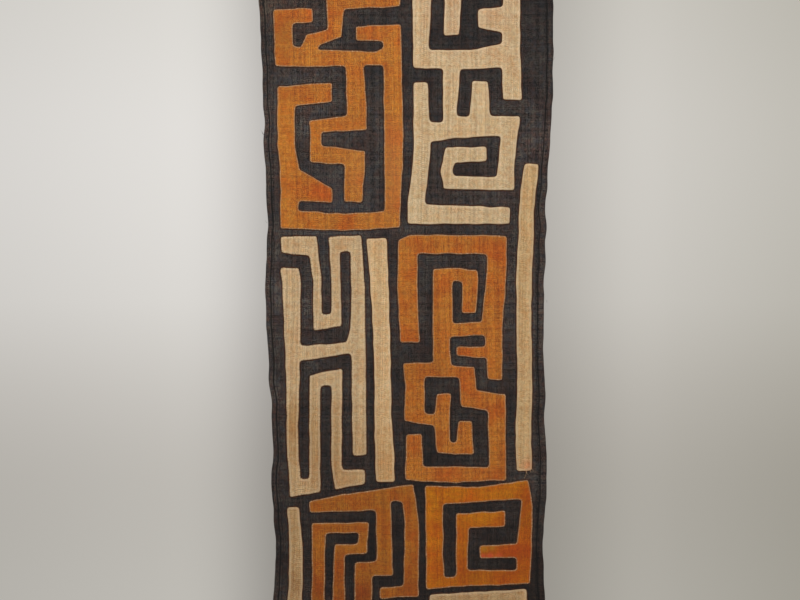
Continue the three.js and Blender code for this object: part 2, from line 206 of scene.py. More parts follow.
def closedSheet(name, places, faces, frontRise, backRise, rim):
    # Faces go anticlockwise seen from the front. The two sides are joined all round the outline.
    count = len(places)
    middle = middleAt(places)
    front = np.column_stack([places[:, 0], middle - frontRise, places[:, 1]])
    back = np.column_stack([places[:, 0], middle - backRise, places[:, 1]])
    frontFaces = [tuple(int(i) for i in face) for face in faces]
    backFaces = [tuple(i + count for i in reversed(face)) for face in frontFaces]
    sides = {(face[k], face[(k + 1) % len(face)]) for face in frontFaces for k in range(len(face))}
    walls = [(b, a, a + count, b + count) for a, b in sorted(sides) if (b, a) not in sides]
    piece = newPiece(name, np.vstack([front, back]), frontFaces + backFaces + walls)
    attribute = piece.data.attributes.new("rim", "FLOAT", "POINT")  # how far in from the edge
    attribute.data.foreach_set("value", np.concatenate([rim, rim]).astype(np.float32))
    return piece


def facesFront(face):
    return face.normal.y < -0.5


def traceOutlines(nodeName):  # outlines of a flat-cut node seen from the front, cloth on the left
    bm = readNode(nodeName)
    follow = {}
    place = {}
    for face in bm.faces:
        if not facesFront(face):
            continue
        for loop in face.loops:
            beyond = [other for other in loop.edge.link_faces if other is not face and facesFront(other)]
            if not beyond:
                start = loop.vert
                follow[start.index] = loop.link_loop_next.vert.index
                place[start.index] = (start.co.x * 1000, start.co.z * 1000)
    bm.free()
    outlines = []
    while follow:
        at = next(iter(follow))
        outline = []
        while at in follow:
            outline.append(place[at])
            at = follow.pop(at)
        outlines.append(np.array(outline))
    return outlines


def spaceEvenly(outline, step):
    closed = np.vstack([outline, outline[:1]])
    along = np.concatenate([[0], np.cumsum(np.hypot(*np.diff(closed, axis=0).T))])
    count = max(8, round(along[-1] / step))
    at = np.arange(count) * along[-1] / count
    return np.column_stack([np.interp(at, along, closed[:, 0]), np.interp(at, along, closed[:, 1])])


def softenCorners(outline, rounds):
    for _ in range(rounds):
        outline = (np.roll(outline, 1, axis=0) + 2 * outline + np.roll(outline, -1, axis=0)) / 4
    return outline


def inwardOf(outline):  # along the edge, and towards the cloth
    along = np.roll(outline, -1, axis=0) - np.roll(outline, 1, axis=0)
    along /= np.hypot(along[:, 0], along[:, 1])[:, None]
    return along, np.column_stack([-along[:, 1], along[:, 0]])


def distanceIn(places, outlines, batch=400):  # from each place to the nearest outline
    nearest = np.full(len(places), np.inf)
    for outline in outlines:
        start = outline[None, :, :]
        run = (np.roll(outline, -1, axis=0) - outline)[None, :, :]
        length = (run ** 2).sum(axis=2)
        for first in range(0, len(places), batch):
            some = places[first:first + batch, None, :]
            share = np.clip(((some - start) * run).sum(axis=2) / length, 0, 1)[:, :, None]
            gap = np.sqrt(((some - start - run * share) ** 2).sum(axis=2)).min(axis=1)
            nearest[first:first + batch] = np.minimum(nearest[first:first + batch], gap)
    return nearest


def isInside(places, outlines):
    crossings = np.zeros(len(places), dtype=int)
    for outline in outlines:
        for a, b in zip(outline, np.roll(outline, -1, axis=0)):
            if a[1] == b[1]:
                continue
            level = (a[1] > places[:, 1]) != (b[1] > places[:, 1])
            at = a[0] + (places[:, 1] - a[1]) * (b[0] - a[0]) / (b[1] - a[1])
            crossings += level & (places[:, 0] < at)
    return crossings % 2 == 1


# Ground cloth

groundValues = {
    "cell": 5.0,                 # size of a mesh cell
    "edgeWaves": 10,             # small bumps along the two side edges
    "edgeLengths": (28.0, 95.0),
    "edgeReach": 0.26,
    "endClearance": 0.05,        # the side edges are felt this far inside the two ends
    # the folded hem in rows: mm in from the left edge and the ends, mm in from the right edge,
    # how far each side stands from the sheet's middle, and its mark for the material
    "hem": [
        (0.0, 0.0, 0.35, 0.0),
        (0.9, 0.9, 1.10, 0.1),
        (3.0, 3.0, 1.32, 0.3),
        (7.5, 10.0, 1.24, 0.75),
        (9.2, 12.0, 1.00, 0.92),
        (10.0, 13.0, 0.76, 1.0),
        (10.9, 13.9, 1.04, 1.1),
        (13.0, 15.0, 1.20, 1.5),
        (15.2, 16.2, 1.12, 1.9),
        (16.4, 17.4, 0.66, 2.2),
        (19.0, 19.0, 0.60, 3.0),
    ],
}


def sideEdgesAt(nodeName, levels):  # where the CAD cloth's two side edges are at each height
    bm = readNode(nodeName)
    ends = np.array([[(v.co.x * 1000, v.co.z * 1000) for v in edge.verts] for edge in bm.edges])
    bm.free()
    left, right = [], []
    for z in levels:
        rise = ends[:, 1, 1] - ends[:, 0, 1]
        crossing = ((ends[:, 0, 1] - z) * (ends[:, 1, 1] - z) <= 0) & (np.abs(rise) > 1e-6)
        share = (z - ends[crossing, 0, 1]) / rise[crossing]
        x = ends[crossing, 0, 0] + share * (ends[crossing, 1, 0] - ends[crossing, 0, 0])
        left.append(x.min())
        right.append(x.max())
    return np.array(left), np.array(right)


def makeGround(values):
    low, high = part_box("ground_cloth")
    top, bottom = high[2] * 1000, low[2] * 1000
    fromLeft, fromRight, hemRises, hemMarks = np.array(values["hem"]).T
    inner = fromLeft[-1]
    rows = round((top - bottom - 2 * inner) / values["cell"])
    between = np.linspace(bottom + inner, top - inner, rows + 1)[1:-1]
    levels = np.concatenate([bottom + fromLeft, between, top - fromLeft[::-1]])
    clear = values["endClearance"]
    left, right = sideEdgesAt("ground_cloth", np.clip(levels, bottom + clear, top - clear))
    for edge in (left, right):
        waves = makeWaves(rng, values["edgeWaves"], values["edgeLengths"], values["edgeReach"])
        edge += sumWaves(waves, np.zeros(len(levels)), levels)
    columns = round(((right - left).mean() - 2 * inner) / values["cell"])
    share = np.linspace(0, 1, columns + 1)[1:-1]
    places, rises, marks = [], [], []
    for z, x0, x1 in zip(levels, left, right):
        inside = x0 + inner + share * (x1 - x0 - 2 * inner)
        x = np.concatenate([x0 + fromLeft, inside, x1 - fromRight[::-1]])
        places.append(np.column_stack([x, np.full(len(x), z)]))
        markEnd = np.interp(min(z - bottom, top - z), fromLeft, hemMarks)
        markLeft = np.interp(x - x0, fromLeft, hemMarks)
        markRight = np.interp(x1 - x, fromRight, hemMarks)
        mark = np.minimum(np.minimum(markLeft, markRight), markEnd)
        marks.append(mark)
        rises.append(np.interp(mark, hemMarks, hemRises))
    width = len(places[0])
    faces = []
    for i in range(len(levels) - 1):
        for j in range(width - 1):
            k = i * width + j
            faces.append((k, k + 1, k + 1 + width, k + width))
    rise = np.concatenate(rises)
    return closedSheet(
        "ground_raffia", waverBy(np.vstack(places)), faces, rise, -rise, np.concatenate(marks)
    )


ground = makeGround(groundValues)
print("ground cloth:", len(ground.data.polygons), "faces")


# Sewn pieces: raffia cloth cut as keys, strips and bars, with the edge turned under

sewnValues = {
    "outlineStep": 2.8,
    "cornerRounds": 1,
    "cutWaves": 16,              # a hand-cut edge strays in and out
    "cutLengths": (13.0, 52.0),
    "cutReach": 0.11,
    "cell": 5.2,
    "rowShare": 0.87,            # rows of cells are this much of a cell apart, for even triangles
    "rings": (0.8, 2.2),         # mesh rings inside the outline, where the edge rolls under
    "ringShare": 0.93,           # a ring's places nearer than this share of its depth are left out
    "clearOfRings": 3.9,         # the even cells start this far in
    "back": 0.85,                # above the sheet's middle, just clear of the ground cloth
    # in from the edge, and the front's height: a doubled edge, then the single cloth, with the last
    # row further in than the middle of any piece
    "front": [(0.0, 1.15), (0.8, 1.75), (2.2, 1.98), (4.2, 1.92), (6.5, 1.66), (60.0, 1.62)],
}


def cutCloth(outlines, values):  # flat places and triangles that fill the outlines
    places = list(outlines)
    edges = []
    first = 0
    for outline in outlines:
        count = len(outline)
        edges += [(first + i, first + (i + 1) % count) for i in range(count)]
        first += count
    for depth in values["rings"]:
        for outline in outlines:
            ring = outline + inwardOf(outline)[1] * depth
            clear = distanceIn(ring, outlines) > values["ringShare"] * depth
            places.append(ring[clear & isInside(ring, outlines)])
    everything = np.vstack(outlines)
    cell = values["cell"]
    rows = np.arange(everything[:, 1].min(), everything[:, 1].max(), cell * values["rowShare"])
    grid = []
    for i, z in enumerate(rows):  # every other row is moved by half a cell
        x = np.arange(everything[:, 0].min() + (i % 2) * cell / 2, everything[:, 0].max(), cell)
        grid.append(np.column_stack([x, np.full(len(x), z)]))
    grid = np.vstack(grid)
    grid = grid[isInside(grid, outlines)]
    grid = grid[distanceIn(grid, outlines) > values["clearOfRings"]]
    places = np.vstack(places + [grid])
    corners, _, triangles, *_ = delaunay_2d_cdt([Vector(p) for p in places], edges, [], 0, 0.001, False)
    corners = np.array([(c.x, c.y) for c in corners])
    triangles = np.array([tuple(t) for t in triangles])
    return corners, triangles[isInside(corners[triangles].mean(axis=1), outlines)]


cutWaves = makeWaves(rng, sewnValues["cutWaves"], sewnValues["cutLengths"], sewnValues["cutReach"])


def sewnOutlines(nodeName, values):
    outlines = []
    for outline in traceOutlines(nodeName):
        even = softenCorners(spaceEvenly(outline, values["outlineStep"]), values["cornerRounds"])
        strayed = even + inwardOf(even)[1] * sumWaves(cutWaves, even[:, 0], even[:, 1])[:, None]
        outlines.append(waverBy(strayed))
    return outlines


def makeSewn(nodeName, values):
    outlines = sewnOutlines(nodeName, values)
    corners, triangles = cutCloth(outlines, values)
    rim = distanceIn(corners, outlines)
    front = np.interp(rim, *zip(*values["front"]))
    back = np.full(len(corners), values["back"])
    piece = closedSheet(nodeName + "_cloth", corners, triangles, front, back, rim)
    a, b, c = (corners[triangles[:, k]] for k in range(3))
    area = np.abs(np.cross(b - a, c - a)).sum() / 2e6
    return piece, outlines, area


# Stitches: one is modelled, and each place on an edge gets a copy

def modelStitch():  # a short flattened twist of raffia, lying along X from 0 to 1
    bpy.ops.object.select_all(action="DESELECT")
    bpy.ops.mesh.primitive_uv_sphere_add(segments=5, ring_count=4, radius=0.5, location=(0, 0, 0))
    bpy.ops.object.mode_set(mode="EDIT")
    bpy.ops.mesh.select_all(action="SELECT")
    bpy.ops.transform.rotate(value=math.pi / 2, orient_axis="Y", center_override=(0, 0, 0))
    bpy.ops.transform.translate(value=(0.5, 0, 0))
    bpy.ops.object.mode_set(mode="OBJECT")
    stitch = bpy.context.active_object
    bm = bmesh.new()
    bm.from_mesh(stitch.data)
    bmesh.ops.recalc_face_normals(bm, faces=bm.faces)
    shape = np.array([v.co[:] for v in bm.verts])
    faces = [tuple(v.index for v in face.verts) for face in bm.faces]
    bm.free()
    bpy.data.objects.remove(stitch)
    return shape, faces


stitchShape, stitchFaces = modelStitch()


def archOver(share):  # none at the two ends, and all of it in the middle
    return 4 * share * (1 - share)


def sew(name, starts, ends, startRise, endRise, width, thick, arch):
    # Copies the stitch from each start to its end, over the edge that it holds down
    count = len(starts)
    run = ends - starts
    beside = np.column_stack([-run[:, 1], run[:, 0]])
    beside /= np.hypot(beside[:, 0], beside[:, 1])[:, None]
    along, across, up = stitchShape.T
    flat = starts[:, None, :] + run[:, None, :] * along[None, :, None]
    flat = flat + beside[:, None, :] * (across[None, :] * width[:, None])[:, :, None]
    flat = flat.reshape(-1, 2)
    rise = startRise + (endRise - startRise) * along + arch * archOver(along) + thick * up
    y = middleAt(flat) - np.broadcast_to(rise, (count, len(along))).ravel()
    vertices = np.column_stack([flat[:, 0], y, flat[:, 1]])
    size = len(stitchShape)
    faces = [tuple(i * size + k for k in face) for i in range(count) for face in stitchFaces]
    piece = newPiece(name, vertices, faces)
    bm = bmesh.new()
    bm.from_mesh(piece.data)
    bmesh.ops.recalc_face_normals(bm, faces=bm.faces)
    bm.to_mesh(piece.data)
    bm.free()
    return piece


# A stitch reaches in and out of the edge and leans along it, and its two ends are so high above the
# sheet's middle, all in mm. Uneven is a share of each.

overcast = {  # dense natural thread over the rolled edge of the orange keys
    "pitch": 1.75,
    "inside": 1.5,
    "outside": 0.6,
    "slant": 0.9,
    "width": 1.25,
    "thick": 0.5,
    "startRise": 1.95,
    "endRise": 1.15,
    "arch": 0.4,
    "uneven": 0.34,
}

tackingAndEdgeShadow = {  # small brown stitches that hold every piece down, on the ground beside its edge, set so close that they also make a painted shadow: a dark line along each piece's edge
    "pitch": 1.8,
    "inside": 0.25,
    "outside": 2.7,
    "slant": 0.6,
    "width": 1.7,
    "thick": 0.4,
    "startRise": 1.2,
    "endRise": 0.68,
    "arch": 0.1,
    "uneven": 0.36,
}

openTacking = {  # longer brown stitches, set wide apart
    "pitch": 6.2,
    "inside": 2.0,
    "outside": 1.6,
    "slant": 0.8,
    "width": 1.0,
    "thick": 0.45,
    "startRise": 2.05,
    "endRise": 0.75,
    "arch": 0.25,
    "uneven": 0.35,
}

hemStitching = {  # running stitch in the groove of the hem, on the front and on the back by turns
    "left": 10.0,                # groove in from the left edge and the ends, in mm
    "right": 13.0,               # groove in from the right edge
    "pitch": 5.2,
    "backShift": 0.5,            # the back's stitches lie this share of the pitch further on
    "length": 2.9,
    "rise": 0.72,
    "width": 0.9,
    "thick": 0.5,
    "arch": 0.28,
    "uneven": 0.2,
}

fibreValues = {  # a fibre is a chain of short stitches that overlap
    "links": 6,
    "overlap": 0.2,              # share of a link
    "taper": 0.6,                # share of the width that is gone at the tip
    "thick": 0.5,
}

# Loose ends. Where each starts and stops on the chart in cm, bow and width in mm, height of the
# start and the end above the sheet's middle in mm
looseFibres = [
    (-28.42, 37.0, -28.75, 36.45, 0.5, 0.9, 0.3, 0.9),
    (-28.5, 36.9, -29.0, 36.1, -0.6, 0.7, 0.3, 1.6),
    (-27.75, 54.6, -28.1, 54.1, 0.4, 0.6, 0.3, 0.9),
    (29.3, 22.3, 29.8, 21.5, 0.6, 0.6, 0.3, 1.2),
    (27.95, 70.0, 28.2, 70.6, 0.4, 0.6, 0.2, 0.8),
]
threadTails = [
    (23.95, 103.9, 23.6, 105.6, 1.6, 0.9, 1.7, 0.9),
    (24.0, 103.9, 24.35, 104.9, -0.9, 0.7, 1.7, 0.9),
    (24.95, 103.5, 25.4, 104.2, 0.6, 0.9, 1.9, 1.0),
    (24.7, 103.8, 24.9, 104.5, 0.4, 0.8, 1.9, 1.0),
]


def sewEdges(name, outlines, values):
    starts, ends = [], []
    for outline in outlines:
        at = spaceEvenly(outline, values["pitch"])
        along, inward = inwardOf(at)
        at = at + along * (rng.uniform(-1, 1, len(at)) * values["uneven"] * values["pitch"])[:, None]
        reach = 1 + rng.uniform(-1, 1, len(at)) * values["uneven"]
        starts.append(at + inward * (values["inside"] * reach)[:, None])
        ends.append(at - inward * (values["outside"] * reach)[:, None] + along * values["slant"])
    starts, ends = np.vstack(starts), np.vstack(ends)
    width = values["width"] * (1 + rng.uniform(-1, 1, len(starts)) * values["uneven"])
    return sew(
        name, starts, ends, values["startRise"], values["endRise"], width, values["thick"], values["arch"]
    )


def sewHem(values):
    low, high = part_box("ground_cloth")
    top, bottom = high[2] * 1000, low[2] * 1000
    ends = values["left"]
    up = np.arange(bottom + ends, top - ends, values["pitch"])
    left, right = sideEdgesAt("ground_cloth", up)
    rows = [
        np.column_stack([left + values["left"], up]),
        np.column_stack([right - values["right"], up]),
    ]
    for level in (top - ends, bottom + ends):
        across = np.arange(left.mean() + values["left"], right.mean() - values["right"], values["pitch"])
        rows.append(np.column_stack([across, np.full(len(across), level)]))
    pieces = []
    sides = [("hem_stitches_front", 1, 0.0), ("hem_stitches_back", -1, values["backShift"])]
    for name, side, moved in sides:
        starts, ends = [], []
        for row in rows:
            run = np.gradient(row, axis=0)
            run /= np.hypot(run[:, 0], run[:, 1])[:, None]
            uneven = rng.uniform(-1, 1, len(row)) * values["uneven"] + moved
            start = row + run * (uneven * values["pitch"])[:, None]
            starts.append(start)
            ends.append(start + run * values["length"])
        starts, ends = waverBy(np.vstack(starts)), waverBy(np.vstack(ends))
        width = values["width"] * (1 + rng.uniform(-1, 1, len(starts)) * values["uneven"])
        rise = side * values["rise"]
        pieces.append(sew(name, starts, ends, rise, rise, width, values["thick"], side * values["arch"]))
    return pieces


def layFibres(name, fibres, values):
    starts, ends, starting, ending, widths = [], [], [], [], []
    share = np.linspace(0, 1, values["links"] + 1)
    for fromAcross, fromDown, toAcross, toDown, bow, width, startRise, endRise in fibres:
        start = np.array([fromAcross, -fromDown]) * 10
        run = np.array([toAcross, -toDown]) * 10 - start
        aside = np.array([-run[1], run[0]]) / np.hypot(*run)
        line = start + share[:, None] * run + (bow * archOver(share))[:, None] * aside
        rise = startRise + share * (endRise - startRise)
        starts.append(line[:-1])
        ends.append(line[1:] + values["overlap"] * (line[1:] - line[:-1]))
        starting.append(rise[:-1])
        ending.append(rise[1:])
        widths.append(width * (1 - values["taper"] * share[:-1]))
    starting, ending = np.concatenate(starting)[:, None], np.concatenate(ending)[:, None]
    starts, ends, widths = np.vstack(starts), np.vstack(ends), np.concatenate(widths)
    return sew(name, starts, ends, starting, ending, widths, values["thick"], 0.0)


# Materials

def addNode(tree, kind, settings=None, links=None):
    # A setting goes to the input of that name or number, or else to the node's own property
    node = tree.nodes.new(kind)
    for key, value in (settings or {}).items():
        if isinstance(key, str) and key not in node.inputs:
            setattr(node, key, value)
        else:
            node.inputs[key].default_value = value
    for key, source in (links or {}).items():
        tree.links.new(source, node.inputs[key])
    return node


def workOut(tree, operation, *inputs, kind="ShaderNodeMath"):  # from numbers, vectors and outputs
    given = {i: value for i, value in enumerate(inputs) if isinstance(value, (int, float, tuple))}
    linked = {i: value for i, value in enumerate(inputs) if i not in given}
    return addNode(tree, kind, {"operation": operation, **given}, linked).outputs[0]


def mapRange(tree, value, low, high, atLow=0.0, atHigh=1.0, shape="LINEAR"):
    ends = {"From Min": low, "From Max": high, "To Min": atLow, "To Max": atHigh}
    return addNode(
        tree, "ShaderNodeMapRange", {"interpolation_type": shape, **ends}, {"Value": value}
    ).outputs[0]


def newMaterial(name):
    material = bpy.data.materials.new(name)
    material.use_nodes = True
    tree = material.node_tree
    tree.nodes.clear()
    return material, tree


weaveValues = {
    "threadPitch": 2.0,          # thread spacing in mm, coarse enough to show
    "wander": 1.3,               # how far a line of thread strays, in threads
    "wanderSpan": 60.0,          # mm from one stray to the next
    "streakWidth": 0.75,         # thick and thin threads, next to each other or in pairs
    "streakLength": 0.03,
    "shadedGapHeight": 0.75,           # the painted shade of the gaps between threads shows below this share of a thread's height
    "bandSoftness": 0.3,         # how far a band along the edge fades, as a share of half its width
    "relief": 0.0003,            # metres that a thread stands up
    "ior": 1.5,
    "specular": 0.3,
    "sheen": 0.05,
}


def strayThreads(tree, place, grain):  # the place counted in threads, which wander a little
    perMetre = 1000 / weaveValues["threadPitch"]
    threads = addNode(
        tree, "ShaderNodeMapping",
        {"Rotation": (0, grain, 0), "Scale": (perMetre, perMetre, perMetre)}, {"Vector": place},
    )
    stray = addNode(
        tree, "ShaderNodeTexNoise",
        {"Scale": 1000 / weaveValues["wanderSpan"], "Detail": 3.0}, {"Vector": place},
    )
    vector = "ShaderNodeVectorMath"
    centred = workOut(tree, "SUBTRACT", stray.outputs["Color"], (0.5, 0.5, 0.5), kind=vector)
    wander = addNode(
        tree, vector, {"operation": "SCALE", "Scale": 2 * weaveValues["wander"]}, {0: centred}
    )
    return workOut(tree, "ADD", threads.outputs[0], wander.outputs[0], kind=vector)


def numberThreads(tree, line):  # each thread's number, and its rounded profile from 0 to 1
    offset = workOut(tree, "SUBTRACT", workOut(tree, "FRACT", line), 0.5)
    square = workOut(tree, "MULTIPLY", offset, offset)
    return workOut(tree, "FLOOR", line), workOut(tree, "MULTIPLY_ADD", square, -4.0, 1.0)


def toneThreads(tree, number, seed, spread):  # each thread a tone of its own, round a half
    seeded = workOut(tree, "ADD", number, seed)
    tones = addNode(tree, "ShaderNodeTexWhiteNoise", {"noise_dimensions": "1D"}, {"W": seeded})
    return workOut(tree, "MULTIPLY_ADD", tones.outputs["Value"], spread, (1 - spread) / 2)


def streakThreads(tree, strayed, stretch):  # long streaks that take in a thread or two
    stretched = workOut(tree, "MULTIPLY", strayed, stretch, kind="ShaderNodeVectorMath")
    return addNode(
        tree, "ShaderNodeTexNoise", {"Scale": 1.0, "Detail": 2.0}, {"Vector": stretched}
    ).outputs[0]


def tintCloth(tree, colour, amount, tint, blend):
    return addNode(
        tree, "ShaderNodeMix", {"data_type": "RGBA", "blend_type": blend, 7: linearColour(tint)},
        {0: amount, 6: colour},
    ).outputs[2]


def mottleCloth(tree, colour, place, mottles):
    for span, low, high, tint, most in mottles:
        mottle = addNode(
            tree, "ShaderNodeTexNoise", {"Scale": 1000 / span, "Detail": 2.0}, {"Vector": place}
        )
        amount = mapRange(tree, mottle.outputs[0], low, high, 0.0, most)
        colour = tintCloth(tree, colour, amount, tint, "MULTIPLY")
    return colour


def stainCloth(tree, colour, place, stains):
    flat = workOut(tree, "MULTIPLY", place, (1.0, 0.0, 1.0), kind="ShaderNodeVectorMath")
    for across, down, radius, tint, most, blend in stains:
        middle = (across / 100, 0, -down / 100)
        away = addNode(tree, "ShaderNodeVectorMath", {"operation": "DISTANCE", 1: middle}, {0: flat})
        fade = mapRange(tree, away.outputs["Value"], 0.0, radius / 100, most, 0.0, "SMOOTHSTEP")
        colour = tintCloth(tree, colour, fade, tint, blend)
    return colour


def bandEdges(tree, colour, bands, blend):
    rim = addNode(tree, "ShaderNodeAttribute", {"attribute_name": "rim"}).outputs["Fac"]
    soft = weaveValues["bandSoftness"]
    for start, end, tint, most in bands:
        middle, half = (start + end) / 2, (end - start) / 2
        aside = workOut(tree, "ABSOLUTE", workOut(tree, "SUBTRACT", rim, middle))
        fade = mapRange(tree, aside, half * (1 - soft), half * (1 + soft), most, 0.0)
        colour = tintCloth(tree, colour, fade, tint, blend)
    return colour


def makeRaffia(name, cloth):
    # Raffia plain weave, hand loomed from split palm leaf and dyed: matt, each thread a tone of its own
    material, tree = newMaterial(name)
    place = addNode(tree, "ShaderNodeTexCoord").outputs["Object"]
    strayed = strayThreads(tree, place, cloth["grain"])
    split = addNode(tree, "ShaderNodeSeparateXYZ", None, {0: strayed})
    wide, long = weaveValues["streakWidth"], weaveValues["streakLength"]
    ways = [  # the warp hangs down and the weft goes across
        {
            "axis": 0, "seed": 3.1, "tones": 1.0,
            "stretch": (wide, 1.0, long), "streaks": cloth["warpStreaks"],
        },
        {
            "axis": 2, "seed": 57.7, "tones": cloth["weftTones"],
            "stretch": (long, 1.0, wide), "streaks": cloth["weftStreaks"],
        },
    ]
    contrasts = ("warpStreaks", "weftStreaks", "threadContrast", "fleckContrast")
    streaks = 0.5 - sum(cloth[contrast] for contrast in contrasts) / 2
    number, profile, tone = [], [], []
    for way in ways:
        whole, rounded = numberThreads(tree, split.outputs[way["axis"]])
        number.append(whole)
        profile.append(rounded)
        tone.append(toneThreads(tree, whole, way["seed"], way["tones"]))
        streak = streakThreads(tree, strayed, way["stretch"])
        streaks = workOut(tree, "MULTIPLY_ADD", streak, way["streaks"], streaks)
    over = workOut(tree, "FLOORED_MODULO", workOut(tree, "ADD", *number), 2.0)
    height = addNode(
        tree, "ShaderNodeMix", {"data_type": "FLOAT"}, {0: over, 2: profile[1], 3: profile[0]}
    ).outputs[0]
    threadTone = addNode(
        tree, "ShaderNodeMix", {"data_type": "FLOAT"}, {0: over, 2: tone[1], 3: tone[0]}
    ).outputs[0]
    crossing = addNode(tree, "ShaderNodeCombineXYZ", None, {0: number[0], 1: number[1]})
    fleck = addNode(
        tree, "ShaderNodeTexWhiteNoise", {"noise_dimensions": "2D"}, {"Vector": crossing.outputs[0]}
    )
    flecked = workOut(tree, "MULTIPLY_ADD", fleck.outputs["Value"], cloth["fleckContrast"], streaks)
    share = workOut(tree, "MULTIPLY_ADD", threadTone, cloth["threadContrast"], flecked)
    colour = addNode(
        tree, "ShaderNodeMix",
        {"data_type": "RGBA", 6: linearColour(cloth["deep"]), 7: linearColour(cloth["light"])}, {0: share},
    ).outputs[2]
    colour = mottleCloth(tree, colour, place, cloth["mottles"])
    colour = stainCloth(tree, colour, place, cloth["stains"])
    colour = bandEdges(tree, colour, cloth["bands"], cloth["bandBlend"])
    # painted shade: the colour goes towards the gap colour where a thread runs low, in the hollows between
    # threads
    gap = mapRange(tree, height, 0.0, weaveValues["shadedGapHeight"], cloth["gapShadeShare"], 0.0)
    colour = tintCloth(tree, colour, gap, cloth["gap"], "MIX")
    bump = addNode(
        tree, "ShaderNodeBump", {"Strength": 1.0, "Distance": weaveValues["relief"]}, {"Height": height}
    )
    surface = addNode(
        tree, "ShaderNodeBsdfPrincipled",
        {
            "Roughness": cloth["roughness"], "IOR": weaveValues["ior"],
            "Specular IOR Level": weaveValues["specular"], "Sheen Weight": weaveValues["sheen"],
        },
        {"Base Color": colour, "Normal": bump.outputs[0]},
    )
    addNode(tree, "ShaderNodeOutputMaterial", None, {"Surface": surface.outputs[0]})
    return material


darkRaffia = {
    "grain": 0.0,
    "light": "6a6259",
    "deep": "13100e",
    # the gap colour is the painted shade in the hollows between threads
    "gap": "090706",
    "gapShadeShare": 0.6,
    "threadContrast": 0.75,
    "fleckContrast": 0.65,
    "warpStreaks": 0.6,
    "weftStreaks": 0.4,
    "weftTones": 0.8,
    # span in mm, noise from and to, tint, and how much of it at most
    "mottles": [
        (8.0, 0.42, 0.62, "ffdad2", 0.9),
        (10.0, 0.45, 0.65, "d0e0fc", 0.9),
        (60.0, 0.42, 0.65, "e2ccca", 0.9),
        (150.0, 0.42, 0.62, "cfd0d2", 0.9),
    ],
    # across and down on the chart and radius in cm, tint, how much of it in the middle, and the blend
    # soft patches that darken the ground, the largest and strongest of them low down, so that it is darker
    # towards the bottom
    "stains": [
        (28.0, 12.0, 30.0, "9c9898", 0.8, "MULTIPLY"),
        (-26.0, 4.0, 24.0, "ecdaca", 1.0, "MULTIPLY"),
        (8.0, 16.0, 22.0, "908a8c", 0.72, "MULTIPLY"),
        (7.0, 32.0, 20.0, "908a8c", 0.6, "MULTIPLY"),
        (6.0, 52.0, 22.0, "908a8c", 0.58, "MULTIPLY"),
        (8.0, 70.0, 20.0, "908a8a", 0.35, "MULTIPLY"),
        (-9.0, 18.0, 22.0, "908a8c", 0.3, "MULTIPLY"),
        (-14.0, 52.0, 15.0, "545862", 0.13, "MIX"),
        (-13.0, 40.0, 14.0, "908a8c", 0.25, "MULTIPLY"),
        (-13.0, 65.0, 10.0, "90868a", 0.35, "MULTIPLY"),
        (0.0, 122.0, 60.0, "c4b4ac", 0.44, "MULTIPLY"),
        (-7.0, 89.0, 27.0, "908a88", 0.58, "MULTIPLY"),
        (14.0, 96.0, 23.0, "908882", 0.6, "MULTIPLY"),
        (-6.0, 116.0, 28.0, "908884", 0.7, "MULTIPLY"),
        (-25.0, 120.0, 20.0, "908888", 0.55, "MULTIPLY"),
        (7.0, 120.0, 22.0, "90857c", 0.5, "MULTIPLY"),
        (27.0, 128.0, 26.0, "988a80", 0.95, "MULTIPLY"),
    ],
    # rim from and to, tint, and how much of it: here the rim attribute counts 0 to 1 from the edge to
    # the stitched groove, and to 2 at the hem's end, and on a sewn piece it is mm in from the edge
    # painted shade: the first band darkens the hem's stitched groove, and the second is a painted shadow
    # along the hem's inner edge
    "bands": [(0.86, 1.2, "4a423f", 0.9), (1.85, 2.15, "8a8080", 0.7), (-0.2, 0.8, "fff0ea", 0.6)],
    "bandBlend": "MULTIPLY",
    "roughness": 0.88,
}

orangeRaffia = {
    "grain": 0.02,
    "light": "e39d4a",
    "deep": "905730",
    "gap": "5e3414",
    "gapShadeShare": 0.55,
    "threadContrast": 0.75,
    "fleckContrast": 0.6,
    "warpStreaks": 0.5,
    "weftStreaks": 0.3,
    "weftTones": 0.6,
    "mottles": [
        (5.0, 0.45, 0.6, "fff2a0", 0.65),
        (7.0, 0.42, 0.6, "fadcc8", 0.65),
        (45.0, 0.45, 0.66, "f6ccaa", 0.6),
        (90.0, 0.45, 0.66, "ffe0c8", 0.6),
    ],
    "stains": [],
    "bands": [(-1.0, 3.2, "c07c42", 0.2)],
    "bandBlend": "MIX",
    "roughness": 0.8,
}

naturalRaffia = {
    "grain": -0.015,
    "light": "ebcea1",
    "deep": "a48865",
    "gap": "7a6446",
    "gapShadeShare": 0.4,
    "threadContrast": 0.7,
    "fleckContrast": 0.45,
    "warpStreaks": 0.4,
    "weftStreaks": 0.2,
    "weftTones": 0.4,
    "mottles": [
        (7.0, 0.45, 0.62, "ffeadc", 0.6),
        (9.0, 0.45, 0.62, "f6ead4", 0.6),
        (50.0, 0.45, 0.66, "f6e0cc", 0.4),
    ],
    "stains": [],
    # painted highlight: the outer few mm of the piece, where its edge is turned under, is made paler
    "bands": [(-1.0, 4.2, "e6cfae", 0.25)],
    "bandBlend": "MIX",
    "roughness": 0.8,
}


threadValues = {
    "from": 0.3,                 # noise where the deep colour ends and where the light one starts
    "to": 0.7,
    "bump": 0.6,
    "relief": 0.0001,            # metres that a strand stands up
    "ior": 1.5,
    "specular": 0.35,
}


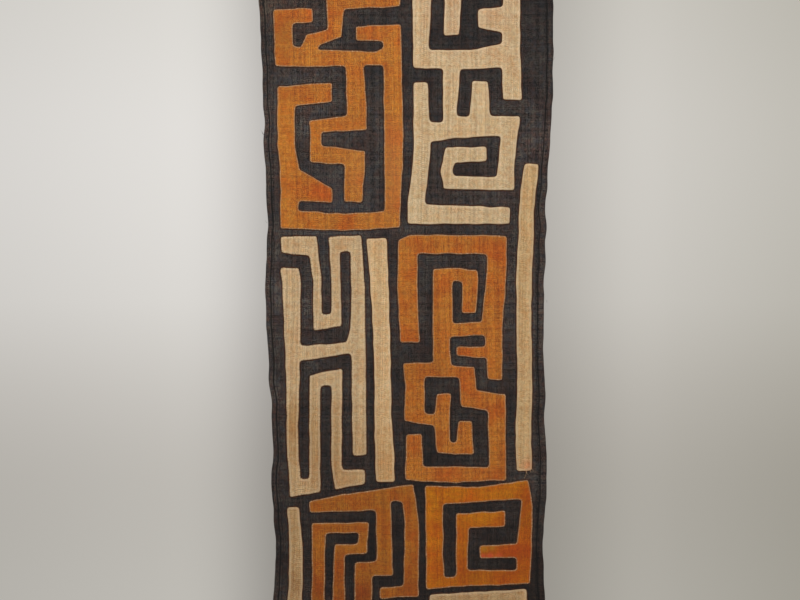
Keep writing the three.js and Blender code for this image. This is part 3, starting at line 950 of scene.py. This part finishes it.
def makeThread(name, thread):
    # Twisted raffia thread, its strands seen as fine uneven streaks
    material, tree = newMaterial(name)
    place = addNode(tree, "ShaderNodeTexCoord").outputs["Object"]
    strands = addNode(
        tree, "ShaderNodeTexNoise", {"Scale": 1000 / thread["strandSpan"], "Detail": 2.0}, {"Vector": place}
    )
    share = mapRange(tree, strands.outputs[0], threadValues["from"], threadValues["to"])
    colour = addNode(
        tree, "ShaderNodeMix",
        {"data_type": "RGBA", 6: linearColour(thread["deep"]), 7: linearColour(thread["light"])}, {0: share},
    )
    bump = addNode(
        tree, "ShaderNodeBump", {"Strength": threadValues["bump"], "Distance": threadValues["relief"]},
        {"Height": strands.outputs[0]},
    )
    surface = addNode(
        tree, "ShaderNodeBsdfPrincipled",
        {
            "Roughness": thread["roughness"], "IOR": threadValues["ior"],
            "Specular IOR Level": threadValues["specular"],
        },
        {"Base Color": colour.outputs[2], "Normal": bump.outputs[0]},
    )
    addNode(tree, "ShaderNodeOutputMaterial", None, {"Surface": surface.outputs[0]})
    return material


naturalThread = {"light": "d6b088", "deep": "9c7850", "strandSpan": 4.0, "roughness": 0.7}
# where the dense tacking uses this brown, it is also the painted shadow along each piece's edge
brownThread = {"light": "562b0c", "deep": "281205", "strandSpan": 4.0, "roughness": 0.85}
darkThread = {"light": "28160b", "deep": "100805", "strandSpan": 4.0, "roughness": 0.85}

naturalThreadMaterial = makeThread("naturalRaffiaThread", naturalThread)
brownThreadMaterial = makeThread("brownRaffiaThread", brownThread)
darkThreadMaterial = makeThread("darkRaffiaThread", darkThread)
ground.data.materials.append(makeRaffia("darkRaffiaPlainWeave", darkRaffia))
print("materials made")


# Each sewn piece: its cloth, its own dyeing and its stitches

sewnPieces = [
    {
        "node": "orange_key_upper_left",
        "cloth": orangeRaffia,
        "own": {
            "light": "db9134", "deep": "8b5021", "gap": "5a300c",
            "stains": [
                (-25.0, 16.0, 8.0, "d0c4c0", 0.8, "MULTIPLY"),
                (-25.0, 26.0, 10.0, "dcccc6", 0.5, "MULTIPLY"),
                (-12.0, 2.0, 17.0, "e6dccc", 0.9, "MULTIPLY"),
                (-18.6, 13.0, 4.0, "ffcdbe", 0.7, "MULTIPLY"),
                (-16.2, 49.0, 4.0, "ffc8b8", 0.7, "MULTIPLY"),
                (-2.5, 44.0, 16.0, "d09a58", 0.2, "MIX"),
            ],
        },
        "slot": "orange_raffia",
        "sewing": {"stitches": overcast, "tackingAndEdgeShadow": tackingAndEdgeShadow},
    },
    {
        "node": "natural_key_upper_right",
        "cloth": naturalRaffia,
        "own": {
            "light": "ebd1a6", "deep": "a48a67",
            "stains": [(12.0, 12.0, 18.0, "f2ecec", 1.0, "MULTIPLY")],
        },
        "slot": "natural_raffia",
        "sewing": {"tackingAndEdgeShadow": tackingAndEdgeShadow},
    },
    {
        "node": "natural_strip_right",
        "cloth": naturalRaffia,
        "own": {
            "light": "e6c490", "deep": "a18157",
            "stains": [(24.5, 103.0, 2.5, "ffc8b4", 0.8, "MULTIPLY")],
        },
        "slot": "natural_raffia",
        "sewing": {"tackingAndEdgeShadow": tackingAndEdgeShadow},
    },
    {
        "node": "natural_key_mid_left",
        "cloth": naturalRaffia,
        "own": {
            "stains": [
                (-19.0, 99.0, 17.0, "e0cdb0", 0.75, "MULTIPLY"),
                (-22.5, 94.0, 6.0, "ecd8b4", 0.6, "MULTIPLY"),
                (-11.0, 106.0, 11.0, "ecdcc4", 0.6, "MULTIPLY"),
            ],
        },
        "slot": "natural_raffia",
        "sewing": {"stitches": openTacking, "tackingAndEdgeShadow": tackingAndEdgeShadow},
    },
    {
        "node": "natural_bar_mid_left",
        "cloth": naturalRaffia,
        "own": {
            "light": "f5d5a3", "deep": "b08e65",
            "stains": [(-4.5, 105.0, 16.0, "e8d8c0", 0.8, "MULTIPLY")],
        },
        "slot": "natural_raffia",
        "sewing": {"tackingAndEdgeShadow": tackingAndEdgeShadow},
    },
    {
        "node": "orange_key_mid_right",
        "cloth": orangeRaffia,
        "own": {
            "light": "d98d33", "deep": "894d1f", "gap": "5a2e0b",
            "stains": [
                (18.8, 60.0, 3.5, "ffc8b0", 0.7, "MULTIPLY"),
                (3.0, 82.0, 10.0, "dcd2cc", 0.5, "MULTIPLY"),
            ],
        },
        "slot": "orange_raffia",
        "sewing": {"stitches": overcast, "tackingAndEdgeShadow": tackingAndEdgeShadow},
    },
    {
        "node": "natural_strip_lower_left",
        "cloth": naturalRaffia,
        "own": {
            "light": "d1af7f", "deep": "92724c", "gap": "6c5536",
            "stains": [(-22.0, 126.8, 3.0, "d8c0aa", 0.6, "MULTIPLY")],
        },
        "slot": "natural_raffia",
        "sewing": {"tackingAndEdgeShadow": tackingAndEdgeShadow},
    },
    {
        "node": "orange_key_lower_left",
        "cloth": orangeRaffia,
        "own": {
            "light": "c88024", "deep": "804716", "gap": "582c08",
            "fleckContrast": 0.5, "threadContrast": 0.6,
            "stains": [
                (-10.0, 137.0, 13.0, "c88c70", 0.9, "MULTIPLY"),
                (-17.6, 128.0, 4.0, "d29478", 0.6, "MULTIPLY"),
                (-8.6, 128.4, 4.5, "d29478", 0.6, "MULTIPLY"),
                (0.8, 127.6, 4.0, "d29478", 0.6, "MULTIPLY"),
                (-14.0, 125.5, 5.0, "e8b4a0", 0.5, "MULTIPLY"),
            ],
        },
        "slot": "orange_raffia",
        "sewing": {"stitches": overcast, "tackingAndEdgeShadow": tackingAndEdgeShadow},
    },
    {
        "node": "orange_key_lower_right",
        "cloth": orangeRaffia,
        "own": {
            "light": "e08c00", "deep": "915000", "gap": "643200",
            "fleckContrast": 0.45, "threadContrast": 0.5,
            "stains": [
                (25.0, 120.0, 13.0, "e8b898", 0.85, "MULTIPLY"),
                (15.3, 121.3, 1.1, "e0563c", 0.8, "MIX"),
                (16.8, 121.2, 1.2, "e0563c", 0.8, "MIX"),
                (18.6, 121.1, 1.2, "e06438", 0.5, "MIX"),
                (15.6, 119.6, 1.0, "b8942a", 0.5, "MIX"),
                (17.2, 119.5, 1.0, "b8942a", 0.4, "MIX"),
                (13.0, 110.0, 4.0, "ffdccc", 0.6, "MULTIPLY"),
                (14.0, 123.0, 10.0, "dcb4a0", 0.6, "MULTIPLY"),
                (25.0, 111.0, 8.0, "dcccc8", 0.6, "MULTIPLY"),
            ],
        },
        "slot": "orange_raffia",
        "sewing": {"stitches": overcast, "tackingAndEdgeShadow": tackingAndEdgeShadow},
    },
    {
        "node": "natural_bar_lower_right",
        "cloth": naturalRaffia,
        "own": {"light": "d7b788", "deep": "987954", "gap": "715a3c"},
        "slot": "natural_raffia",
        "sewing": {"tackingAndEdgeShadow": tackingAndEdgeShadow},
    },
]

hemStitches = sewHem(hemStitching)
fibres = layFibres("loose_fibres", looseFibres, fibreValues)
tails = layFibres("thread_tails", threadTails, fibreValues)
loosePieces = [
    (hemStitches[0], darkThreadMaterial),
    (hemStitches[1], darkThreadMaterial),
    (fibres, darkThreadMaterial),
    (tails, naturalThreadMaterial),
]
for piece, thread in loosePieces:
    piece.data.materials.append(thread)
    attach(piece, "root")

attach(ground, "root")
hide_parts("ground_cloth")

for row in sewnPieces:
    node = row["node"]
    place = node.split("_", 2)[2]
    piece, outlines, area = makeSewn(node, sewnValues)
    weave = makeRaffia(row["slot"] + "_plain_weave_" + place, {**row["cloth"], **row["own"]})
    piece.data.materials.append(weave)
    sewing = []
    for kind, values in row["sewing"].items():
        stitches = sewEdges(node + "_" + kind, outlines, values)
        stitches.data.materials.append(naturalThreadMaterial if values is overcast else brownThreadMaterial)
        sewing.append(stitches)
    for one in (piece, *sewing):
        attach(one, "root")
    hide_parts(node)


# Light and floor

studio = {
    "lampSize": 1.2,
    # place in metres and power in watts: one lamp each side, high up, the left one a little
    # stronger, and one behind so that the back isn't black
    "lamps": [((-1.5, -1.9, 0.85), 46.0), ((1.5, -1.9, 0.85), 42.0), ((0.5, 2.4, 0.7), 40.0)],
    "aimAt": (0.0, 0.0, -0.5),
    "ambient": "eceeef",
    "ambientStrength": 0.2,
    "floorLevel": -1.85,
    "floorRadius": 2.3,
    "floorSides": 96,
    "floorColour": "d9d8d4",
    "floorRoughness": 0.9,
    # the pale backdrop, with painted shade: greys from low to high, darker low down where the light falls
    # off, and how much of them is left from left to right, with a painted shadow of the cloth on each side
    # of it and darker to the right where the light dims
    "backdropShadeUp": [
        (0.0, "bfbcb5"), (0.2, "bab6af"), (0.36, "cac6c0"),
        (0.5, "dbd8d3"), (0.78, "e6e3df"), (1.0, "dad7d1"),
    ],
    "backdropShadowAcross": [
        (0.0, "f0f0f0"), (0.20, "ffffff"), (0.28, "ffffff"), (0.36, "bab8b8"), (0.64, "bab8b5"),
        (0.76, "ecebe8"), (0.84, "e9e8e5"), (1.0, "d6d5cf"),
    ],
    # how far up and down and to each side the greys spread, as sines of the angle from straight ahead
    "reachUp": 0.15,
    "reachAcross": 0.20,
}


def makeLamps(values):
    for i, (place, power) in enumerate(values["lamps"]):
        data = bpy.data.lights.new("lamp" + str(i), "AREA")
        data.shape = "DISK"
        data.size = values["lampSize"]
        data.energy = power
        lamp = bpy.data.objects.new("lamp" + str(i), data)
        lamp.location = place
        aim = Vector(values["aimAt"]) - Vector(place)
        lamp.rotation_euler = aim.to_track_quat("-Z", "Y").to_euler()
        scene.collection.objects.link(lamp)


def makeWorld(values):
    world = bpy.data.worlds.new("studio")
    world.use_nodes = True
    tree = world.node_tree
    tree.nodes.clear()
    ambient = addNode(
        tree, "ShaderNodeBackground",
        {"Color": linearColour(values["ambient"]), "Strength": values["ambientStrength"]},
    )
    direction = addNode(tree, "ShaderNodeTexCoord").outputs["Generated"]
    split = addNode(tree, "ShaderNodeSeparateXYZ", None, {0: direction})
    greys = []
    # painted shade and painted shadow: the greys that the camera sees darken low down and on each side of
    # the cloth
    for axis, stops, reach in (
        (2, values["backdropShadeUp"], values["reachUp"]),
        (0, values["backdropShadowAcross"], values["reachAcross"]),
    ):
        along = mapRange(tree, split.outputs[axis], -reach, reach)
        ramp = addNode(tree, "ShaderNodeValToRGB", None, {0: along})
        ramp.color_ramp.interpolation = "B_SPLINE"
        elements = ramp.color_ramp.elements
        while len(elements) < len(stops):
            elements.new(0.5)
        for element, (position, grey) in zip(elements, stops):
            element.position = position
            element.color = linearColour(grey)
        greys.append(ramp.outputs[0])
    pale = addNode(
        tree, "ShaderNodeMix", {"data_type": "RGBA", "blend_type": "MULTIPLY", 0: 1.0},
        {6: greys[0], 7: greys[1]},
    )
    seen = addNode(tree, "ShaderNodeBackground", {"Strength": 1.0}, {"Color": pale.outputs[2]})
    path = addNode(tree, "ShaderNodeLightPath")
    mixed = addNode(
        tree, "ShaderNodeMixShader", None,
        {0: path.outputs["Is Camera Ray"], 1: ambient.outputs[0], 2: seen.outputs[0]},
    )
    addNode(tree, "ShaderNodeOutputWorld", None, {"Surface": mixed.outputs[0]})
    scene.world = world


def makeFloor(values):
    bpy.ops.object.select_all(action="DESELECT")
    bpy.ops.mesh.primitive_circle_add(
        vertices=values["floorSides"], radius=values["floorRadius"], fill_type="NGON",
        location=(0, 0, values["floorLevel"]),
    )
    floor = bpy.context.active_object
    floor.name = "floor"
    material, tree = newMaterial("palePaintedFloor")
    surface = addNode(
        tree, "ShaderNodeBsdfPrincipled",
        {"Base Color": linearColour(values["floorColour"]), "Roughness": values["floorRoughness"]},
    )
    addNode(tree, "ShaderNodeOutputMaterial", None, {"Surface": surface.outputs[0]})
    floor.data.materials.append(material)


makeLamps(studio)
makeWorld(studio)
makeFloor(studio)
scene.view_settings.view_transform = "Standard"
print("light and floor set")
